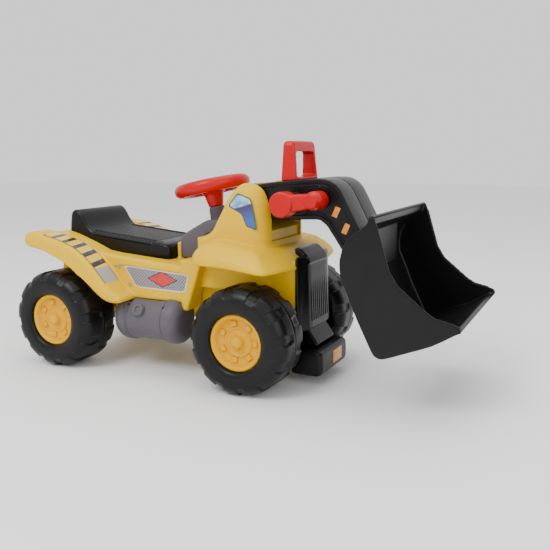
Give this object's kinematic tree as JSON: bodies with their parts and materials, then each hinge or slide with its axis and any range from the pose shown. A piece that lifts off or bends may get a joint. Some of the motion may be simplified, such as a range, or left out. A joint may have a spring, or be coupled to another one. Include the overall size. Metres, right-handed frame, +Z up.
{
  "type": "ride-on toy digger",
  "caption": "Ride-on toy digger with a lifting seat lid, steerable front wheels, a loop-handled lifting boom and a lever-worked curling bucket.",
  "frame": {"origin": "on the ground, under the middle of the length and width", "axes": "+X forward towards the bucket, +Y to the driver's left, +Z up"},
  "size_m": [1.041, 0.434, 0.515],
  "materials": {
    "yellow_shell": "satin moulded, soft sheen",
    "hub_yellow": "satin moulded",
    "tyre_plastic": "moulded black plastic, semi-gloss",
    "grey_plastic": "fine satin",
    "black_plastic": "semi-gloss moulded",
    "red_plastic": "semi-gloss moulded",
    "nylon": "smooth matte",
    "steel": "bright zinc-plated",
    "hazard_sticker": "printed vinyl",
    "side_sticker": "printed vinyl",
    "window_sticker": "printed vinyl",
    "orange_sticker": "printed vinyl"
  },
  "bodies": {
    "chassis": {"rear_body": "yellow_shell", "front_body": "yellow_shell", "console": "grey_plastic", "grille": "black_plastic", "bumper": "black_plastic", "left_tank": "grey_plastic", "right_tank": "grey_plastic", "tank_caps": "grey_plastic", "tank_screws": "steel", "panel_screws": "steel", "rear_axle": "steel", "axle_bushes": "nylon", "rear_axle_caps": "steel", "front_beam": "black_plastic", "kingpins": "steel", "column_bush": "nylon", "floor_bush": "nylon", "boom_pin": "steel", "seat_hinge_pin": "steel", "hazard_stickers": "hazard_sticker", "side_stickers": "side_sticker", "window_stickers": "window_sticker", "bumper_sticker": "orange_sticker"},
    "seat": {"seat": "black_plastic"},
    "steering": {"steering_wheel": "red_plastic", "steering_rod": "steel", "wheel_cap": "red_plastic"},
    "tie_bar": {"tie_bar": "steel"},
    "left_knuckle": {"left_knuckle": "steel", "left_knuckle_cap": "steel"},
    "right_knuckle": {"right_knuckle": "steel", "right_knuckle_cap": "steel"},
    "rear_left_wheel": {"rear_left_tyre": "tyre_plastic", "rear_left_hub": "hub_yellow", "rear_left_sleeve": "nylon"},
    "rear_right_wheel": {"rear_right_tyre": "tyre_plastic", "rear_right_hub": "hub_yellow", "rear_right_sleeve": "nylon"},
    "front_left_wheel": {"front_left_tyre": "tyre_plastic", "front_left_hub": "hub_yellow", "front_left_sleeve": "nylon"},
    "front_right_wheel": {"front_right_tyre": "tyre_plastic", "front_right_hub": "hub_yellow", "front_right_sleeve": "nylon"},
    "boom": {"boom_left": "black_plastic", "boom_right": "black_plastic", "loop_handle": "red_plastic", "boom_screws": "steel", "boom_stickers": "orange_sticker", "bucket_pin": "steel"},
    "lever": {"left_lever": "red_plastic", "right_lever": "red_plastic", "lever_shaft": "steel"},
    "push_rod": {"push_rod": "steel"},
    "bucket": {"bucket": "black_plastic", "crank_pin": "steel"}
  },
  "joints": [
    {"name": "seat_hinge", "type": "hinge", "parent": "chassis", "child": "seat", "pos_m": [-0.152, 0, 0.282], "axis": [0, 1, 0], "range_deg": [0, 55]},
    {"name": "steering_turn", "type": "hinge", "parent": "chassis", "child": "steering", "pos_m": [-0.092, 0, 0.415], "axis": [-0.2079, 0, 0.9781], "range_deg": [-25, 25]},
    {"name": "tie_slide", "type": "slide", "parent": "chassis", "child": "tie_bar", "axis": [0, -1, 0], "range_m": [-0.012, 0.012]},
    {"name": "left_knuckle_turn", "type": "hinge", "parent": "chassis", "child": "left_knuckle", "pos_m": [0.079, 0.092, 0.1125], "axis": [0, 0, 1], "range_deg": [-9.85, 9.85]},
    {"name": "right_knuckle_turn", "type": "hinge", "parent": "chassis", "child": "right_knuckle", "pos_m": [0.079, -0.092, 0.1125], "axis": [0, 0, 1], "range_deg": [-9.85, 9.85]},
    {"name": "rear_left_spin", "type": "hinge", "parent": "chassis", "child": "rear_left_wheel", "pos_m": [-0.408, 0.1595, 0.1125], "axis": [0, 1, 0], "continuous": true},
    {"name": "rear_right_spin", "type": "hinge", "parent": "chassis", "child": "rear_right_wheel", "pos_m": [-0.408, -0.1595, 0.1125], "axis": [0, 1, 0], "continuous": true},
    {"name": "front_left_spin", "type": "hinge", "parent": "left_knuckle", "child": "front_left_wheel", "pos_m": [0.079, 0.1595, 0.1125], "axis": [0, 1, 0], "continuous": true},
    {"name": "front_right_spin", "type": "hinge", "parent": "right_knuckle", "child": "front_right_wheel", "pos_m": [0.079, -0.1595, 0.1125], "axis": [0, 1, 0], "continuous": true},
    {"name": "boom_lift", "type": "hinge", "parent": "chassis", "child": "boom", "pos_m": [0.075, 0, 0.3895], "axis": [0, -1, 0], "range_deg": [-24, 30]},
    {"name": "bucket_curl", "type": "hinge", "parent": "boom", "child": "bucket", "pos_m": [0.286, 0, 0.298], "axis": [0, -1, 0], "range_deg": [0, 40]},
    {"name": "lever_turn", "type": "hinge", "parent": "boom", "child": "lever", "pos_m": [0.144, 0, 0.387], "axis": [0, -1, 0], "range_deg": [0, 40]},
    {"name": "push_rod_swing", "type": "hinge", "parent": "lever", "child": "push_rod", "pos_m": [0.144, 0, 0.417], "axis": [0, -1, 0], "range_deg": [-40, 0]}
  ],
  "couplings": [
    {"joint": "tie_slide", "follows": "steering_turn", "m_per_rad": 0.02712},
    {"joint": "left_knuckle_turn", "follows": "steering_turn", "ratio": 0.3893},
    {"joint": "right_knuckle_turn", "follows": "steering_turn", "ratio": 0.3893},
    {"joint": "lever_turn", "follows": "bucket_curl", "ratio": 1},
    {"joint": "push_rod_swing", "follows": "bucket_curl", "ratio": -1}
  ]
}
